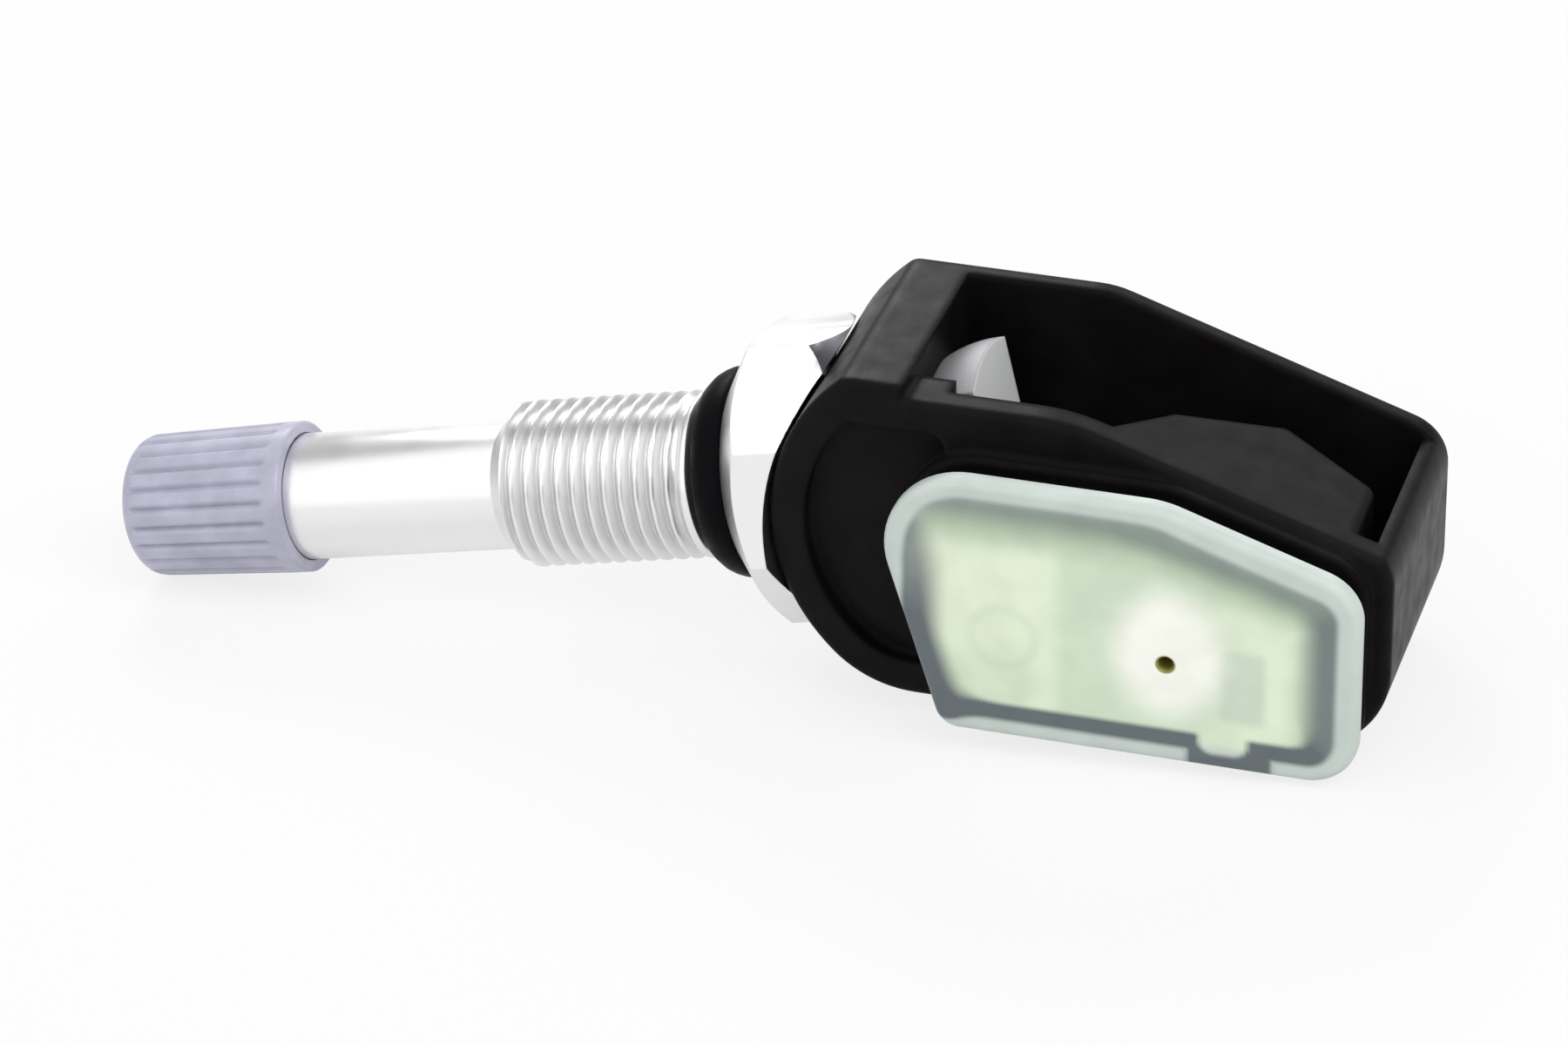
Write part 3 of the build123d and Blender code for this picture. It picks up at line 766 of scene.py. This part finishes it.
def aluminium():
    """Bright turned aluminium with fine lathe lines, with painted shade in the thread roots and on the back bevel.
    """
    made = material("bare_aluminium", alu_bright, roughness=0.3, metallic=1)
    # Painted shade in the thread roots: the deeper a point is cut, the darker its colour
    cut = node(made, "ShaderNodeAttribute", attribute_name="thread_cut")
    turned = between_colours(made, cut.outputs["Fac"], alu_bright, alu_root_shade)
    # Painted shade on the collar's back bevel
    bevel = node(made, "ShaderNodeAttribute", attribute_name="bevel_shade")
    mix = node(made, "ShaderNodeMix", data_type="RGBA")
    mix.inputs["B"].default_value = (*alu_bevel_shade, 1)
    link(made, bevel.outputs["Fac"], mix.inputs["Factor"])
    link(made, turned, mix.inputs["A"])
    link(made, mix.outputs["Result"], socket(made, "Base Color"))
    vary_roughness(made, low=0.28, high=0.34, grain_size=2.5)
    place = node(made, "ShaderNodeTexCoord")
    along_valve = node(made, "ShaderNodeMapping", vector_type="POINT")
    along_valve.inputs["Rotation"].default_value = (0, math.atan2(valve_way.z, -valve_way.x), 0)
    lines = node(made, "ShaderNodeTexWave", wave_type="BANDS", bands_direction="X")
    lines.inputs["Scale"].default_value = 1 / (lathe_width * MM)
    link(made, place.outputs["Object"], along_valve.inputs["Vector"])
    link(made, along_valve.outputs["Vector"], lines.inputs["Vector"])
    bump(made, lines.outputs["Fac"], depth=0.002, strength=0.2, soft_edge=0.12)
    return made


def rubber():
    """Black moulded rubber."""
    made = material("black_rubber", (0.003, 0.003, 0.004), roughness=0.5, specular=0.04)
    vary_roughness(made, low=0.38, high=0.55, grain_size=1.2)
    bump(made, object_noise(made, grain_size=0.12), depth=0.02, strength=0.5)
    return made


def nut_alloy():
    """Die casting with painted shade on its dome and painted light on its flat face, set by which way a face
    points, and a fine grain.
    """
    made = material("nut_alloy", nut_lit_flat, roughness=0.55, metallic=0.2)
    # Painted light on faces that point like the flat face, painted shade on the dome
    place = node(made, "ShaderNodeTexCoord")
    facing = node(made, "ShaderNodeVectorMath", operation="DOT_PRODUCT")
    facing.inputs[1].default_value = -valve_way
    link(made, place.outputs["Normal"], facing.inputs[0])
    colour = between_colours(made, facing.outputs["Value"], nut_shaded_dome, nut_lit_flat)
    link(made, colour, socket(made, "Base Color"))
    bump(made, object_noise(made, grain_size=0.1), depth=0.02, strength=0.4, soft_edge=0.35)
    return made


def cap_plastic():
    """Lavender grey cap plastic, with a faint moulding grain."""
    dark = (0.39, 0.39, 0.49)
    made = material("cap_plastic", dark, roughness=0.3)
    vary_colour(made, dark, light=(0.5, 0.49, 0.61), grain_size=1.8)
    bump(made, object_noise(made, grain_size=0.2), depth=0.02, strength=0.35, soft_edge=0.12)
    return made


def black_plastic():
    """Glass-filled black housing plastic: satin, with a fine grain."""
    dark = (0.005, 0.004, 0.005)
    made = material("black_plastic", dark, roughness=0.4, specular=0.06)
    vary_colour(made, dark, light=(0.008, 0.007, 0.008), grain_size=2.5)
    vary_roughness(made, low=0.32, high=0.42, grain_size=1.5)
    bump(made, object_noise(made, grain_size=0.14), depth=0.02, strength=0.45, soft_edge=0.7)
    return made


def milky_plastic():
    """Milky lid: the colours of what shows through it, with painted shade in places, under a smooth, slightly
    cloudy skin.
    """
    made = material("milky_plastic", lid_rim, roughness=0.36, specular=0.3)
    seen = node(made, "ShaderNodeAttribute", attribute_name="lid_colour")
    cloud = noise_between(made, low=0.95, high=1.03, noise=object_noise(made, grain_size=2.2, detail=1.0))
    tint = node(made, "ShaderNodeVectorMath", operation="SCALE")
    link(made, seen.outputs["Vector"], tint.inputs[0])
    link(made, cloud, tint.inputs["Scale"])
    link(made, tint.outputs["Vector"], socket(made, "Base Color"))
    socket(made, "Subsurface Weight").default_value = 0.15
    socket(made, "Subsurface Radius").default_value = (0.5, 0.6, 0.5)
    socket(made, "Subsurface Scale").default_value = MM
    vary_roughness(made, low=0.32, high=0.42, grain_size=2.0)
    bump(made, object_noise(made, grain_size=0.8, detail=1.0), depth=0.004, strength=0.15)
    return made


def speckled(name, dark, light, roughness, metallic, grain_size):
    """Plain inner material with a drifting colour and a fine grain."""
    made = material(name, dark, roughness, metallic)
    vary_colour(made, dark, light, grain_size)
    bump(made, object_noise(made, grain_size / 4), depth=0.01, strength=0.3, soft_edge=0.1)
    return made


finishes = {
    "bare_aluminium": aluminium(),
    "black_rubber": rubber(),
    "nut_alloy": nut_alloy(),
    "cap_plastic": cap_plastic(),
    "black_plastic": black_plastic(),
    "milky_plastic": milky_plastic(),
}
for slot, values in inner_finishes.items():
    finishes[slot] = speckled(slot, *values)
for subpart in frame["record"]["subparts"]:
    cad_mesh = frame["nodes"][subpart["node"]].data
    cad_mesh.materials.clear()
    cad_mesh.materials.append(finishes[subpart["material_slot"]])
for piece, slot in [
    (stem, "bare_aluminium"),
    (spring, "spring_steel"),
    (seal, "black_rubber"),
    (cap, "cap_plastic"),
    (lid, "milky_plastic"),
]:
    piece.data.materials.append(finishes[slot])


def make_floor():
    """Pale floor with the part's soft shadow, lifted towards white to the camera and in reflections."""
    mesh = bpy.data.meshes.new("floor")
    half = floor_half * MM
    low = cad_box[0].z
    corners = [(-half, -half, low), (half, -half, low), (half, half, low), (-half, half, low)]
    mesh.from_pydata(corners, [], [(0, 1, 2, 3)])
    floor = bpy.data.objects.new("floor", mesh)
    bpy.context.scene.collection.objects.link(floor)
    made = material("floor_white", (floor_grey, floor_grey, floor_grey), roughness=0.9, specular=0.1)
    white = node(made, "ShaderNodeEmission")
    path = node(made, "ShaderNodeLightPath")
    seen = node(made, "ShaderNodeMath", operation="MULTIPLY")
    seen.inputs[1].default_value = floor_lift
    shine = node(made, "ShaderNodeMath", operation="MULTIPLY_ADD")
    shine.inputs[1].default_value = floor_shine
    mix = node(made, "ShaderNodeMixShader")
    link(made, path.outputs["Is Camera Ray"], seen.inputs[0])
    link(made, path.outputs["Is Glossy Ray"], shine.inputs[0])
    link(made, seen.outputs["Value"], shine.inputs[2])
    link(made, shine.outputs["Value"], mix.inputs["Fac"])
    link(made, made.node_tree.nodes["Principled BSDF"].outputs["BSDF"], mix.inputs[1])
    link(made, white.outputs["Emission"], mix.inputs[2])
    link(made, mix.outputs["Shader"], made.node_tree.nodes["Material Output"].inputs["Surface"])
    mesh.materials.append(made)


def make_world():
    """White to the camera, grey in reflections, and a softer even fill on the part."""
    world = bpy.data.worlds.new("studio")
    bpy.context.scene.world = world
    world.use_nodes = True
    sky = world.node_tree.nodes["Background"]
    sky.inputs["Color"].default_value = (1, 1, 1, 1)
    path = node(world, "ShaderNodeLightPath")
    seen = node(world, "ShaderNodeMath", operation="MULTIPLY_ADD")
    seen.inputs[1].default_value = 1 - world_fill
    seen.inputs[2].default_value = world_fill
    shine = node(world, "ShaderNodeMath", operation="MULTIPLY_ADD")
    shine.inputs[1].default_value = world_shine - world_fill
    link(world, path.outputs["Is Camera Ray"], seen.inputs[0])
    link(world, path.outputs["Is Glossy Ray"], shine.inputs[0])
    link(world, seen.outputs["Value"], shine.inputs[2])
    link(world, shine.outputs["Value"], sky.inputs["Strength"])


def make_lamp(name, power, size, place):
    """Soft square lamp that looks at the part."""
    light = bpy.data.lights.new(name, "AREA")
    light.energy = power
    light.size = size * MM
    lamp = bpy.data.objects.new(name, light)
    lamp.location = Vector(place) * MM
    lamp.rotation_euler = (pivot - lamp.location).to_track_quat("-Z", "Y").to_euler()
    bpy.context.scene.collection.objects.link(lamp)


def make_camera():
    """Camera at the photograph's angle, set by azimuth, elevation and roll about the housing."""
    azimuth = math.radians(camera_azimuth)
    elevation = math.radians(camera_elevation)
    roll = math.radians(camera_roll)
    side = along_way * math.sin(azimuth) - depth_way * math.cos(azimuth)
    back = side * math.cos(elevation) + height_way * math.sin(elevation)
    level = height_way.cross(back).normalized()
    rise = back.cross(level)
    right = level * math.cos(roll) + rise * math.sin(roll)
    up = rise * math.cos(roll) - level * math.sin(roll)
    aim = in_housing(aim_along, aim_height, 0)
    place = aim + (back * camera_distance - right * camera_aim[0] - up * camera_aim[1]) * MM
    lens = bpy.data.cameras.new("camera")
    lens.lens = camera_lens
    lens.clip_start = camera_clip * MM
    camera = bpy.data.objects.new("camera", lens)
    turn = Matrix((right, up, back)).transposed()
    camera.matrix_world = Matrix.Translation(place) @ turn.to_4x4()
    bpy.context.scene.collection.objects.link(camera)
    bpy.context.scene.camera = camera


make_floor()
make_world()
for name, (power, size, place) in lamps.items():
    make_lamp(name, power, size, place)
make_camera()
bpy.context.scene.view_settings.view_transform = "Standard"
